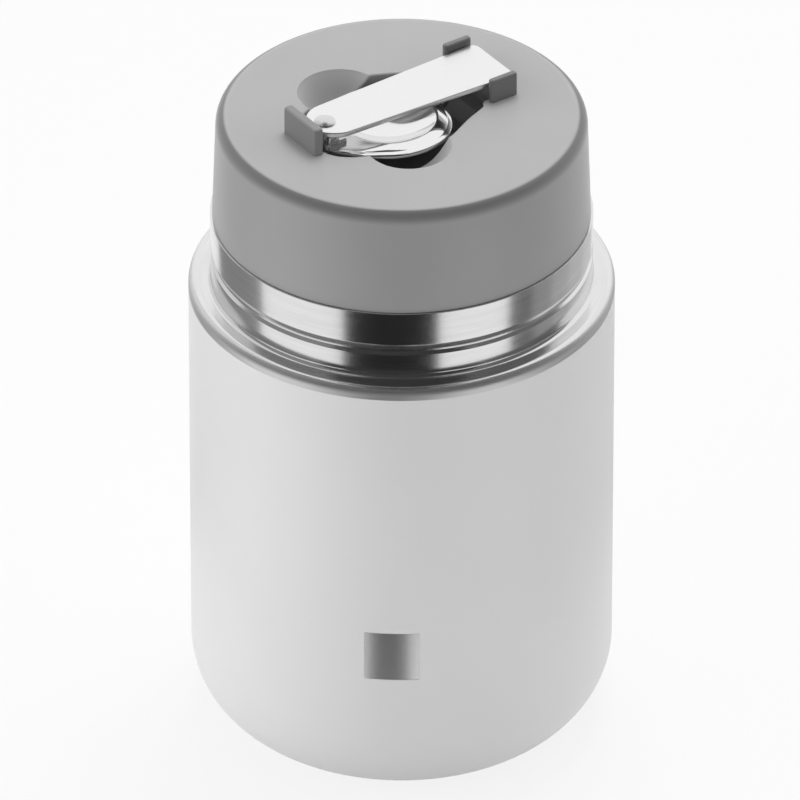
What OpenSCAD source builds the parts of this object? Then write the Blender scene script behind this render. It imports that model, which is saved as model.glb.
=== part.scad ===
// Vacuum-insulated food jar with a screw lid and a folding spoon stored in the lid.
// +Z is up, the origin is on the table under the jar's axis, and lengths are millimetres.

/* [Jar body] */
// Outside diameter of the coated body
body_d = 100; // [92:1:112]
// Height of the flat steel shoulder above the table
shoulder_z = 119.8; // [100:0.1:140]
// Radius of the body's rounded lower edge
foot_round = 20; // [16:1:24]
// Radius of the shoulder's rounded outer edge
shoulder_round = 1.2; // [1.1:0.1:4]
// How far below the shoulder the coating ends
coat_gap = 3.1; // [2:0.1:4]
// Sheet thickness of the outer shell, neck and base
shell_t = 0.8; // [0.5:0.1:1]
// Sheet thickness of the inner vessel
vessel_t = 0.6; // [0.4:0.1:0.9]
// Width of the vacuum gap between the two side walls
vacuum_gap = 3.6; // [3:0.2:5]
// Height of the inner vessel's floor above the table, outside face
vessel_floor_z = 9; // [8:0.5:14]
// Radius of the inner vessel's rounded floor edge
vessel_round = 14; // [8:1:18]
// Height of the vessel's shoulder below the steel shoulder
vessel_drop = 4; // [3:0.5:8]

/* [Base] */
// Depth of the recess in the base
base_recess = 2; // [1.5:0.25:3]
// Width of the flat ring that the jar stands on
foot_ring_w = 5; // [3:0.5:7]
// Radius of the sealing dimple in the base
dimple_r = 8; // [6:0.5:10]
// Depth of the sealing dimple above the recess
dimple_h = 1.6; // [1.2:0.1:2]
// Radius of the evacuation hole
seal_hole_r = 1.2; // [0.8:0.1:1.6]
// Radius of the sealing bead that closes the hole
seal_bead_r = 4; // [3:0.5:5]
// Thickness of the disc that covers the sealing bead
base_cover_t = 0.8; // [0.6:0.1:1.2]

/* [Vacuum gap] */
// Thickness of the metal foil around the inner vessel
foil_t = 0.2; // [0.15:0.05:0.3]
// Clear distance between the foil and the vessel
foil_gap = 0.1; // [0.05:0.05:0.2]
// Distance from the foil's edges to the ends of the vessel's straight wall
foil_inset = 2; // [1:0.5:6]
// Radius of the getter pill
getter_r = 4; // [3:0.5:5]
// Thickness of the getter pill
getter_h = 1.8; // [1.2:0.2:2.2]
// Sheet thickness of the getter's cap
getter_cap_t = 0.3; // [0.2:0.1:0.4]
// Width of the flange that holds the cap on the vessel's floor
getter_flange_w = 2; // [1:0.5:4]

/* [Neck] */
// Outside diameter of the visible steel neck band
neck_d = 89.6; // [86:0.2:92]
// Height of the neck band above the shoulder
neck_h = 17.1; // [14:0.1:20]
// Radius of the hollow corner between the neck band and the shoulder
neck_fillet = 1.2; // [0.8:0.1:2]
// Height of the groove's middle above the shoulder
groove_up = 7.5; // [6:0.25:9.5]
// Height of the rolled groove
groove_h = 2.8; // [2:0.2:3.6]
// Depth of the rolled groove
groove_depth = 0.7; // [0.4:0.1:0.9]
// How far the groove's deepest line lies below its middle
groove_low = 0.7; // [0:0.1:0.9]
// Radius of the mouth inside the inner vessel
mouth_r = 37.8; // [36:0.2:38.6]
// Height of the mouth's rim above the neck band
mouth_up = 15.6; // [15.2:0.1:19]
// Radial gap between the inner vessel's neck and the outer neck tube
neck_gap = 0.6; // [0.4:0.1:0.9]

/* [Thread] */
// Number of thread starts
thread_starts = 3; // [1:1:3]
// Distance from one ridge to the next
thread_pitch = 4; // [3.6:0.2:4.2]
// Distance from the mouth's rim down to the thread's upper end
thread_down = 3.2; // [2.8:0.1:3.6]
// Height of each ridge above its wall
ridge_h = 0.9; // [0.7:0.05:1]
// Width of a ridge at its root
ridge_w = 1.8; // [1.4:0.1:2]
// Width of each of a ridge's sloping flanks
ridge_flank = 0.5; // [0.3:0.05:0.6]
// Turns that each ridge runs
ridge_turns = 0.6; // [0.4:0.05:0.6]
// Radial gap between a ridge's tip and the facing wall
ridge_gap = 0.4; // [0.3:0.05:0.5]

/* [Lid] */
// Outside diameter of the lid at its lower edge
lid_d = 88.6; // [88.2:0.1:89.4]
// How much narrower the lid's radius is at its top
lid_draft = 0.9; // [0:0.1:1]
// Height of the lid's outer cover
lid_h = 26.8; // [26:0.1:32]
// Radius of the lid's rounded top edge
lid_round = 3; // [1.5:0.25:4]
// Wall thickness of the lid's cover around the spoon's pocket
cover_t = 1.6; // [1.4:0.1:1.8]
// Thickness of the cover's top
lid_top_t = 3.2; // [2.8:0.1:3.6]
// Gap between the lid's lower edge and the neck band
lid_seat_gap = 0.3; // [0.3:0.05:0.6]
// Radial gap between the cover and the liner
liner_gap = 0.1; // [0.05:0.05:0.2]
// Wall thickness of the liner's skirt and floor
liner_t = 1.3; // [1.2:0.1:1.6]
// Wall thickness of the liner's plug
plug_t = 2.5; // [2.2:0.1:3]
// Radial gap between the plug and the mouth
plug_gap = 0.4; // [0.35:0.05:0.6]
// Height of the gap between the mouth's rim and the liner
rim_gap = 0.4; // [0.3:0.05:0.8]
// Depth that the plug reaches below the mouth's rim
plug_depth = 14.5; // [12:0.5:15]
// Height of the gasket's groove above the plug's floor
gasket_up = 1; // [0.6:0.1:1.6]
// Width of the gasket's groove in the plug
gasket_w = 3; // [2.4:0.2:3.4]
// Depth of the gasket's groove
gasket_depth = 1.2; // [1:0.1:1.4]
// Clearance of the gasket in its groove
gasket_play = 0.1; // [0.05:0.05:0.2]

/* [Spoon seat] */
// Direction of the stored spoon, from +X towards +Y
seat_angle = 34.8; // [0:0.2:90]
// Distance of the spoon's centre line from the lid's axis
seat_side = 1.6; // [0:0.1:3]
// Distance of the rivet behind the lid's axis, along the spoon
rivet_back = 20.6; // [19.6:0.1:22]
// Depth of the spoon's pocket
pocket_depth = 8.5; // [7.5:0.1:10]
// Gap around the bowl in its pocket
pocket_gap = 1.3; // [0.8:0.1:1.6]
// Gap in the pocket around the plate that carries the rivet
heel_gap = 2.6; // [2:0.1:3]
// Radius of the two finger scallops
scallop_r = 10; // [9:0.25:11]
// Depth of the two finger scallops
scallop_depth = 5.5; // [4.5:0.25:6]
// Distance of the scallops' centres from the spoon's centre line
scallop_side = 14.1; // [13:0.1:15]
// Distance of the scallops' centres from the rivet
scallop_along = 14; // [13:0.2:16]
// Half width of the wedge where it leaves the bowl's pocket
wedge_hw = 14.2; // [13:0.1:14.6]
// Half width of the wedge at its end
wedge_end_hw = 9.6; // [8.6:0.1:10]
// Distance from the bowl's centre to the start of the wedge
wedge_start = 9.2; // [8:0.2:10]
// Distance from the middle of the end clips back to the wedge's end
wedge_stop = 5; // [4:0.5:7]
// Half width of the channel under the handle's end
channel_hw = 8; // [6:0.2:8.2]
// Distance from the rivet to the end of the channel
channel_end = 45; // [43:0.5:46]
// Depth of the channel under the handle's end
channel_depth = 6; // [4:0.5:7]

/* [Spoon clips] */
// Height of the stop behind the rivet
heel_clip_h = 7; // [6:0.25:8]
// Thickness of the stop behind the rivet
heel_clip_t = 2.5; // [2:0.1:3]
// Length of the stop across the spoon
heel_clip_len = 13.2; // [9:0.2:14]
// Distance of that stop's middle from the spoon's centre line
heel_clip_side = 0.8; // [0:0.1:1.2]
// Height of the two clips beside the handle's end
tip_clip_h = 6; // [5.5:0.25:8]
// Thickness of the two clips beside the handle's end
tip_clip_t = 1.8; // [1.4:0.1:2.2]
// Length of the two clips along the handle
tip_clip_len = 7.4; // [5:0.2:8]
// Distance from the handle's end to the clips
tip_clip_back = 0.6; // [0.6:0.2:2.4]
// Gap between the clips and the handle
clip_gap = 0.3; // [0.2:0.05:0.6]
// Radius of the clips' rounded corners
clip_round = 0.6; // [0.3:0.1:0.8]
// Length of a clip's foot below the lid's top
clip_foot = 2.2; // [1.4:0.1:2.2]
// Clearance of a clip's foot in its slot
clip_fit = 0.05; // [0.02:0.01:0.1]

/* [Spoon] */
// Distance from the rivet to the handle's far end
handle_len = 48.2; // [47:0.2:50]
// Half width of the handle near the rivet
handle_hw_near = 6.7; // [6:0.1:7]
// Half width of the handle at its far end
handle_hw_far = 8.2; // [7:0.1:8.4]
// Sheet thickness of the handle
handle_t = 1.3; // [1:0.1:1.6]
// Height of the handle's underside above the lid
handle_up = 3; // [2.5:0.1:3.4]
// Corner radius of the handle's far end
handle_round = 2; // [1:0.25:3]
// Radius of the handle's rounded near end
handle_near_r = 6.7; // [6.2:0.1:7]
// Distance from the rivet to the handle's near end
handle_back = 3.9; // [3.6:0.1:4.2]
// Sheet thickness of the bowl
bowl_t = 1; // [0.8:0.1:1.2]
// How far the bowl's rim lies below the lid's top
rim_down = 0.6; // [0.2:0.1:1]
// Depth of the bowl inside
bowl_depth = 4; // [3.5:0.25:5]
// Inside radius of the bowl at its rim
bowl_r = 11.6; // [11:0.2:12.4]
// Width of the flat rim around the bowl
rim_w = 3.8; // [3:0.1:4.4]
// Distance from the rivet to the bowl's far end
bowl_reach = 33; // [32:0.25:34]
// Radius of the plate around the rivet
land_r = 10; // [8:0.5:12]
// Distance of that plate's edge behind the rivet
land_back = 2.5; // [2.4:0.1:3]
// Thickness of the folded hem on the bowl's shank
hem_t = 1.2; // [1:0.1:1.4]
// Half width of the hem, which is wider where its washer and tab need it
hem_hw = 4.2; // [4.2:0.1:5.6]
// Length of the hem along the spoon
hem_len = 6; // [5:0.5:9]
// Length of the stop tab on the hem
tab_len = 3; // [2:0.2:4]
// Distance from the rivet back to the tab's end
tab_back = 1.7; // [1.2:0.1:2.2]
// Gap between the tab and the handle
tab_gap = 0.4; // [0.3:0.05:0.6]
// Radius of the rivet's shank
rivet_r = 1.8; // [1.4:0.1:2]
// Radius of the rivet's domed head
rivet_head_r = 2.5; // [2.4:0.1:3]
// Height of the rivet's domed head
rivet_head_h = 1; // [0.8:0.1:1.3]
// Radius of the rivet's flat tail under the bowl's plate
rivet_tail_r = 2.6; // [2.4:0.1:3]
// Height of the rivet's tail
rivet_tail_h = 0.9; // [0.7:0.1:1.2]
// Width of the washer's ring around the rivet
washer_w = 1.2; // [0.8:0.1:2.4]
// Gap between the washer and the stop tab that stands beside it
washer_gap = 0.4; // [0.2:0.1:0.6]
// Radial clearance of the rivet in the bowl
pivot_fit = 0.05; // [0.02:0.01:0.1]
// Clearance above and below the bowl's plate on the rivet
pivot_play = 0.05; // [0.05:0.01:0.1]

/* [Hidden] */
$fn = 96;
// Overlap that joins one solid to the next
join = 0.2;
// Overshoot of a cut past its surface
past = 1;

body_r = body_d / 2;
foot_r = body_r - foot_round;
shoulder_r = body_r - shoulder_round;
coat_z = shoulder_z - coat_gap;
recess_r = foot_r - foot_ring_w;
dimple_z = base_recess + dimple_h;
vessel_or = body_r - shell_t - vacuum_gap;
vessel_ir = vessel_or - vessel_t;
vessel_top_z = shoulder_z - shell_t - vessel_drop;

neck_r = neck_d / 2;
neck_top_z = shoulder_z + neck_h;
mouth_z = neck_top_z + mouth_up;
mouth_or = mouth_r + vessel_t;
tube_ir = mouth_or + neck_gap;
tube_r = tube_ir + shell_t;
rim_w_mouth = tube_r - mouth_r;

thread_lead = thread_starts * thread_pitch;
ridge_tip_w = ridge_w - 2 * ridge_flank;
skirt_ir = tube_r + ridge_h + ridge_gap;
skirt_or = skirt_ir + liner_t;
neck_thread_z = mouth_z - thread_down - ridge_turns * thread_lead;
skirt_thread_z = neck_thread_z - thread_pitch / 2;

lid_r = lid_d / 2;
lid_z = neck_top_z + lid_seat_gap;
lid_top = lid_z + lid_h;
lid_top_r = lid_r - lid_draft;
cover_ir = skirt_or + liner_gap;
skirt_z = lid_z + liner_t;
web_z = mouth_z + rim_gap;
plug_or = mouth_r - plug_gap;
plug_ir = plug_or - plug_t;
plug_z = mouth_z - plug_depth;
gasket_z = plug_z + liner_t + gasket_up;
tub_z = lid_top - pocket_depth - cover_t;

handle_z = lid_top + handle_up;
handle_top = handle_z + handle_t;
rim_z = lid_top - rim_down;
hem_z = rim_z + hem_t;
hem_out = max(hem_hw, rivet_r + washer_w + washer_gap + bowl_t);
washer_t = handle_z - hem_z - 2 * pivot_play;
rim_r = bowl_r + rim_w;
bowl_along = bowl_reach - rim_r;
land_along = land_r - land_back;
// The bowl is part of a ball: its radius, and its centre's height above the rim
bowl_ball_r = (bowl_r * bowl_r + bowl_depth * bowl_depth) / (2 * bowl_depth);
bowl_ball_up = bowl_ball_r - bowl_depth;
near_centre = handle_near_r - handle_back;
heel_face = -handle_back - clip_gap;
tip_clip_in = handle_hw_far + clip_gap;
tip_clip_along = handle_len - tip_clip_back - tip_clip_len / 2;
wedge_from = bowl_along + wedge_start;
wedge_to = tip_clip_along - wedge_stop;

// ---------- helpers ----------

// Rectangle from one corner to the opposite one
module box2(x0, y0, x1, y1) {
    translate([x0, y0]) square([x1 - x0, y1 - y0]);
}

// Half section of the body, from the axis to its surface, shrunk by inset
module body_half(inset) {
    box2(0, inset, foot_r, foot_round);
    translate([foot_r, foot_round]) intersection() {
        circle(foot_round - inset);
        box2(0, -foot_round, foot_round, 0);
    }
    box2(0, foot_round, body_r - inset, shoulder_z - shoulder_round);
    box2(0, shoulder_z - shoulder_round, shoulder_r, shoulder_z - inset);
    translate([shoulder_r, shoulder_z - shoulder_round]) intersection() {
        circle(shoulder_round - inset);
        box2(0, 0, shoulder_round, shoulder_round);
    }
}

// Half section of the inner vessel's space, grown by grow
module vessel_half(grow) {
    floor_z = vessel_floor_z + vessel_t - grow;
    corner_r = vessel_ir - vessel_round;
    top_round = vessel_ir - mouth_r;
    top_centre_z = vessel_top_z - vessel_t - top_round;
    box2(0, floor_z, corner_r, floor_z + vessel_round + grow);
    translate([corner_r, floor_z + vessel_round + grow]) intersection() {
        circle(vessel_round + grow);
        box2(0, -vessel_round - grow, vessel_round + grow, 0);
    }
    box2(0, floor_z + vessel_round + grow, vessel_ir + grow, top_centre_z);
    translate([mouth_r, top_centre_z]) intersection() {
        circle(top_round + grow);
        box2(0, 0, top_round + grow, top_round + grow);
    }
    box2(0, top_centre_z, mouth_r + grow, mouth_z);
}

// One helical ridge: wall_r is the wall that it stands on, and dir is 1 outwards, -1 inwards.
// Its root is sunk into the wall, and its ends fade from end_h of the full height.
module ridge(wall_r, dir, z0, start) {
    steps = 40;
    sink = 0.3;
    end_h = 0.05;
    fade_turns = 1 / 12;
    root = wall_r - dir * sink;
    rings = [for (i = [0:steps])
        let (t = i / steps,
             fade = min(1, min(t, 1 - t) / fade_turns + end_h),
             a = start + 360 * ridge_turns * t,
             z = z0 + thread_lead * ridge_turns * t,
             tip = wall_r + dir * ridge_h * fade)
        [for (p = [[root, -ridge_w / 2], [tip, -ridge_tip_w / 2], [tip, ridge_tip_w / 2],
                   [root, ridge_w / 2]])
            [p[0] * cos(a), p[0] * sin(a), z + p[1]]]];
    points = [for (ring = rings) each ring];
    sides = [for (i = [0:steps - 1]) for (j = [0:3])
        let (k = (j + 1) % 4)
        [4 * i + j, 4 * i + k, 4 * i + 4 + k, 4 * i + 4 + j]];
    ends = [[3, 2, 1, 0], [for (j = [0:3]) 4 * steps + j]];
    faces = concat(sides, ends);
    polyhedron(points, dir > 0 ? faces : [for (f = faces) [for (j = [len(f) - 1:-1:0]) f[j]]]);
}

module ridges(wall_r, dir, z0) {
    for (s = [0:thread_starts - 1]) ridge(wall_r, dir, z0, 360 * s / thread_starts);
}

// Places its children in the spoon's frame: X runs from the rivet to the handle's end
module at_seat() {
    rotate([0, 0, seat_angle]) translate([-rivet_back, seat_side, 0]) children();
}

// Two circles on the X axis joined by their outer tangents
module twin_round(x1, r1, x2, r2) {
    s = (r2 - r1) / (x2 - x1);
    c = sqrt(1 - s * s);
    translate([x1, 0]) circle(r1);
    translate([x2, 0]) circle(r2);
    polygon([[x1 - r1 * s, r1 * c], [x2 - r2 * s, r2 * c],
             [x2 - r2 * s, -r2 * c], [x1 - r1 * s, -r1 * c]]);
}

module bowl_outline(grow) {
    twin_round(land_along, land_r + grow, bowl_along, rim_r + grow);
}

// Outline of the spoon's pocket in the lid, grown by grow
module pocket_outline(grow) {
    near = wedge_hw + grow;
    far = wedge_end_hw + grow;
    bowl_outline(pocket_gap + grow);
    intersection() {
        translate([land_along, 0]) circle(land_r + heel_gap + grow);
        box2(-handle_back - grow, -2 * land_r, bowl_along, 2 * land_r);
    }
    polygon([[bowl_along, -near], [wedge_from, -near], [wedge_to + grow, -far],
             [wedge_to + grow, far], [wedge_from, near], [bowl_along, near]]);
}

// Places its children on the axes of the two finger scallops
module at_scallops() {
    for (side = [-1, 1]) translate([scallop_along, side * scallop_side, 0]) children();
}

module channel_outline(grow) {
    box2(wedge_from, -channel_hw - grow, channel_end + grow, channel_hw + grow);
}

// Rectangle with round corners, centred
module round_rect(x, y, r) {
    square([x, y - 2 * r], center = true);
    square([x - 2 * r, y], center = true);
    for (i = [-1, 1]) for (j = [-1, 1])
        translate([i * (x / 2 - r), j * (y / 2 - r)]) circle(r);
}

// Upright clip on the lid with round corners, and its foot in the lid's slot
module clip(along, across, len_x, len_y, h) {
    translate([along, across, lid_top]) {
        intersection() {
            linear_extrude(h) round_rect(len_x, len_y, clip_round);
            rotate([90, 0, 0]) translate([0, 0, -len_y])
                linear_extrude(2 * len_y) translate([0, h / 2 - clip_round])
                    round_rect(len_x, h + 2 * clip_round, clip_round);
            rotate([90, 0, 90]) translate([0, 0, -len_x])
                linear_extrude(2 * len_x) translate([0, h / 2 - clip_round])
                    round_rect(len_y, h + 2 * clip_round, clip_round);
        }
        translate([0, 0, -clip_foot / 2])
            cube([len_x - 2 * clip_round, len_y - 2 * clip_round, clip_foot + join], center = true);
    }
}

// Slot in the lid for a clip's foot, a little deeper than the foot
module clip_slot(along, across, len_x, len_y) {
    inset = 2 * clip_round - 2 * clip_fit;
    spare = 0.4;
    translate([along, across, lid_top])
        cube([len_x - inset, len_y - inset, 2 * (clip_foot + spare)], center = true);
}

// ---------- jar body ----------

module outer_shell() {
    color("whitesmoke") rotate_extrude() intersection() {
        difference() {
            body_half(0);
            body_half(shell_t);
        }
        box2(foot_r, -past, body_r + past, coat_z);
    }
}

module neck_collar() {
    groove_z = shoulder_z + groove_up;
    half = groove_h / 2;
    in_r = neck_r - shell_t;
    color("silver") {
        rotate_extrude() {
            intersection() {
                difference() {
                    body_half(0);
                    body_half(shell_t);
                }
                box2(in_r, coat_z, body_r + past, shoulder_z + past);
            }
            polygon([[in_r, shoulder_z - shell_t], [neck_r, shoulder_z - shell_t],
                     [neck_r, groove_z - half], [neck_r - groove_depth, groove_z - groove_low],
                     [neck_r, groove_z + half], [neck_r, neck_top_z - shell_t],
                     [neck_r - shell_t, neck_top_z], [tube_ir, neck_top_z],
                     [tube_ir, neck_top_z - shell_t], [in_r - shell_t, neck_top_z - shell_t],
                     [in_r, neck_top_z - 2 * shell_t], [in_r, groove_z + half],
                     [in_r - groove_depth, groove_z - groove_low], [in_r, groove_z - half]]);
            difference() {
                box2(neck_r - shell_t / 2, shoulder_z - shell_t / 2,
                     neck_r + neck_fillet, shoulder_z + neck_fillet);
                translate([neck_r + neck_fillet, shoulder_z + neck_fillet]) circle(neck_fillet);
            }
            box2(tube_ir, neck_top_z - shell_t, tube_r, mouth_z - rim_w_mouth);
        }
        ridges(tube_r, 1, neck_thread_z);
    }
}

module inner_vessel() {
    rim_c = mouth_r + rim_w_mouth / 2;
    color("lightsteelblue") rotate_extrude() {
        difference() {
            vessel_half(vessel_t);
            vessel_half(0);
            box2(0, mouth_z - rim_w_mouth, mouth_r, mouth_z + past);
            box2(mouth_r, mouth_z - rim_w_mouth, tube_r, mouth_z + past);
        }
        box2(mouth_r, mouth_z - rim_w_mouth, tube_r, mouth_z - rim_w_mouth / 2);
        intersection() {
            translate([rim_c, mouth_z - rim_w_mouth / 2]) circle(rim_w_mouth / 2);
            box2(mouth_r, mouth_z - rim_w_mouth / 2, tube_r, mouth_z + past);
        }
    }
}

module foil_wrap() {
    foil_ir = vessel_or + foil_gap;
    low = vessel_floor_z + vessel_round + vessel_t + foil_inset;
    high = vessel_top_z - (vessel_ir - mouth_r) - vessel_t - foil_inset;
    color("peru") translate([0, 0, low]) difference() {
        cylinder(h = high - low, r = foil_ir + foil_t);
        translate([0, 0, -past]) cylinder(h = high - low + 2 * past, r = foil_ir);
    }
}

module getter_cap() {
    cap_r = getter_r + getter_cap_t;
    cap_h = getter_h + getter_cap_t;
    color("gray") translate([0, 0, vessel_floor_z - cap_h]) difference() {
        union() {
            cylinder(h = cap_h, r = cap_r);
            translate([0, 0, getter_h]) cylinder(h = getter_cap_t, r = cap_r + getter_flange_w);
        }
        translate([0, 0, getter_cap_t]) cylinder(h = cap_h, r = getter_r);
    }
}

module getter() {
    color("dimgray") translate([0, 0, vessel_floor_z - getter_h])
        cylinder(h = getter_h, r = getter_r);
}

module base_cup() {
    color("silver") rotate_extrude() polygon([
        [recess_r, 0], [foot_r, 0], [foot_r, shell_t], [recess_r + shell_t, shell_t],
        [recess_r + shell_t, base_recess + shell_t], [dimple_r + shell_t, base_recess + shell_t],
        [dimple_r + shell_t, dimple_z + shell_t], [seal_hole_r, dimple_z + shell_t],
        [seal_hole_r, dimple_z], [dimple_r, dimple_z], [dimple_r, base_recess],
        [recess_r, base_recess]]);
}

module seal_plug() {
    color("darkgray") {
        translate([0, 0, base_recess]) cylinder(h = dimple_h, r = seal_bead_r);
        translate([0, 0, dimple_z - join]) cylinder(h = shell_t + join, r = seal_hole_r);
    }
}

module base_cover() {
    color("silver") translate([0, 0, base_recess - base_cover_t])
        cylinder(h = base_cover_t, r = recess_r - base_cover_t);
}

// ---------- lid ----------

// Half section of the lid's outer form, from the axis to its surface
module lid_half() {
    flat_r = lid_top_r - lid_round;
    edge_z = lid_top - lid_round;
    polygon([[0, lid_z], [lid_r, lid_z], [lid_top_r, edge_z], [0, edge_z]]);
    box2(0, edge_z, flat_r, lid_top);
    translate([flat_r, edge_z]) intersection() {
        circle(lid_round);
        box2(0, 0, lid_round, lid_round);
    }
}

module lid_cover() {
    color("darkgray") difference() {
        union() {
            rotate_extrude() difference() {
                lid_half();
                box2(0, lid_z - past, cover_ir, lid_top - lid_top_t);
            }
            at_seat() translate([0, 0, tub_z])
                linear_extrude(pocket_depth) pocket_outline(cover_t);
            at_seat() translate([0, 0, lid_top - channel_depth - cover_t])
                linear_extrude(channel_depth) channel_outline(cover_t);
            at_seat() at_scallops() translate([0, 0, lid_top - scallop_depth - cover_t])
                cylinder(h = scallop_depth, r = scallop_r + cover_t);
        }
        at_seat() {
            translate([0, 0, lid_top - pocket_depth])
                linear_extrude(pocket_depth + past) pocket_outline(0);
            translate([0, 0, lid_top - channel_depth])
                linear_extrude(channel_depth + past) channel_outline(0);
            at_scallops() translate([0, 0, lid_top - scallop_depth])
                cylinder(h = scallop_depth + past, r = scallop_r);
            clip_slot(heel_face - heel_clip_t / 2, heel_clip_side, heel_clip_t, heel_clip_len);
            for (side = [-1, 1])
                clip_slot(tip_clip_along, side * (tip_clip_in + tip_clip_t / 2), tip_clip_len,
                          tip_clip_t);
        }
    }
}

// Stop behind the rivet, with a small nib towards the handle's round end
module heel_clip() {
    nib_r = 1;
    nib_h = 1.1;
    nib_sink = 0.2;
    nib_side = 3;
    color("dimgray") at_seat() {
        clip(heel_face - heel_clip_t / 2, heel_clip_side, heel_clip_t, heel_clip_len,
             heel_clip_h);
        translate([heel_face - nib_sink, -nib_side, handle_top + clip_gap])
            cylinder(h = nib_h, r = nib_r);
    }
}

module tip_clip(side) {
    color("dimgray") at_seat()
        clip(tip_clip_along, side * (tip_clip_in + tip_clip_t / 2), tip_clip_len, tip_clip_t,
             tip_clip_h);
}

module tip_clip_rear() {
    tip_clip(1);
}

module tip_clip_front() {
    tip_clip(-1);
}

module lid_liner() {
    color("lightgray") {
        rotate_extrude() polygon([
            [0, plug_z], [plug_or, plug_z], [plug_or, gasket_z],
            [plug_or - gasket_depth, gasket_z], [plug_or - gasket_depth, gasket_z + gasket_w],
            [plug_or, gasket_z + gasket_w], [plug_or, web_z], [skirt_ir, web_z],
            [skirt_ir, skirt_z], [skirt_or, skirt_z], [skirt_or, web_z + liner_t],
            [plug_ir, web_z + liner_t], [plug_ir, plug_z + liner_t], [0, plug_z + liner_t]]);
        ridges(skirt_ir, -1, skirt_thread_z);
    }
}

module lid_insulation() {
    low = plug_z + liner_t + liner_gap;
    color("ivory") translate([0, 0, low])
        cylinder(h = tub_z - liner_gap - low, r = plug_ir - liner_gap);
}

module lid_gasket() {
    ring_ir = plug_or - gasket_depth + gasket_play;
    low = gasket_z + gasket_play;
    high = gasket_z + gasket_w - gasket_play;
    lip = 0.5;
    color("gainsboro") rotate_extrude() {
        box2(ring_ir, low, plug_or - lip, high);
        for (z = [low + lip, high - lip]) translate([plug_or - lip, z]) circle(lip);
    }
}

// ---------- spoon ----------

module spoon_bowl() {
    color("gainsboro") at_seat() difference() {
        union() {
            translate([0, 0, rim_z - bowl_t]) linear_extrude(bowl_t) bowl_outline(0);
            translate([bowl_along, 0, rim_z + bowl_ball_up]) intersection() {
                sphere(bowl_ball_r + bowl_t);
                translate([0, 0, -bowl_ball_up - bowl_t / 2 - bowl_ball_r])
                    cube(2 * bowl_ball_r, center = true);
            }
            translate([-land_back, -hem_out, rim_z - join])
                cube([hem_len, 2 * hem_out, hem_t + join]);
            translate([-tab_back, -hem_out, hem_z - join])
                cube([tab_len, bowl_t, handle_z - tab_gap - hem_z + join]);
        }
        translate([bowl_along, 0, rim_z + bowl_ball_up]) sphere(bowl_ball_r);
        translate([0, 0, rim_z - bowl_t - past])
            cylinder(h = bowl_t + hem_t + 2 * past, r = rivet_r + pivot_fit);
    }
}

module spoon_handle() {
    hw_end = handle_hw_near + (handle_hw_far - handle_hw_near) * (1 - handle_round / handle_len);
    corner_x = handle_len - handle_round;
    color("whitesmoke") at_seat() translate([0, 0, handle_z]) linear_extrude(handle_t)
        difference() {
            union() {
                translate([near_centre, 0]) circle(handle_near_r);
                polygon([[near_centre, -handle_near_r], [corner_x, -hw_end],
                         [handle_len, handle_round - hw_end], [handle_len, hw_end - handle_round],
                         [corner_x, hw_end], [near_centre, handle_near_r]]);
                for (side = [-1, 1])
                    translate([corner_x, side * (hw_end - handle_round)]) circle(handle_round);
            }
            circle(rivet_r);
        }
}

module pivot_washer() {
    color("silver") at_seat() translate([0, 0, hem_z + pivot_play]) difference() {
        cylinder(h = washer_t, r = rivet_r + washer_w);
        translate([0, 0, -past]) cylinder(h = washer_t + 2 * past, r = rivet_r + pivot_fit);
    }
}

module spoon_rivet() {
    low = rim_z - bowl_t - pivot_play;
    dome_r = (rivet_head_r * rivet_head_r + rivet_head_h * rivet_head_h) / (2 * rivet_head_h);
    color("silver") at_seat() rotate_extrude() {
        box2(0, low - join, rivet_r, handle_top + join);
        box2(0, low - rivet_tail_h, rivet_tail_r, low);
        translate([0, handle_top + rivet_head_h - dome_r]) intersection() {
            circle(dome_r);
            box2(0, dome_r - rivet_head_h, dome_r, dome_r);
        }
    }
}

outer_shell();
neck_collar();
inner_vessel();
foil_wrap();
getter_cap();
getter();
base_cup();
seal_plug();
base_cover();
lid_cover();
heel_clip();
tip_clip_rear();
tip_clip_front();
lid_liner();
lid_insulation();
lid_gasket();
spoon_bowl();
spoon_handle();
pivot_washer();
spoon_rivet();
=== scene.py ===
"""Looks of the insulated food jar: camera, light, procedural finishes and rounded visible pieces."""

import math

import bpy
from mathutils import Matrix, Vector

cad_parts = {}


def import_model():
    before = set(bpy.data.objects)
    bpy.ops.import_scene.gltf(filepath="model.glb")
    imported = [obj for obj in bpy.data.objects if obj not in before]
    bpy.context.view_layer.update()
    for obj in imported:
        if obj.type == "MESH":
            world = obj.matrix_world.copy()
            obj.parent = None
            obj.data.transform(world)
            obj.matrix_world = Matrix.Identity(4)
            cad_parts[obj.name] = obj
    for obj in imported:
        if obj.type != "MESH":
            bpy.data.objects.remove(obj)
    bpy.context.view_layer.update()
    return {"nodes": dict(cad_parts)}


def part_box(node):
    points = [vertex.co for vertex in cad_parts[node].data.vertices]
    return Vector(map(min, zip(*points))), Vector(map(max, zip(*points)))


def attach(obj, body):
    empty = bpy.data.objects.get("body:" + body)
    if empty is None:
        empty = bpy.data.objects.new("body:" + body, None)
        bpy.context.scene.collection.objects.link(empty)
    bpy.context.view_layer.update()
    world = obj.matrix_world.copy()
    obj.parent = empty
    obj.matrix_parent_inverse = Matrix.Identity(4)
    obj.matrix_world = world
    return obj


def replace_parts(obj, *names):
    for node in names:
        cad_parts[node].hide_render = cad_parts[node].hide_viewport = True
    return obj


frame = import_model()

MM = 0.001
TAU = 2 * math.pi


def low(node):
    """A node's lowest corner in millimetres."""
    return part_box(node)[0] / MM


def high(node):
    """A node's highest corner in millimetres."""
    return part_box(node)[1] / MM


# ---------- sizes, in millimetres, from the frame where it has them ----------

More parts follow.
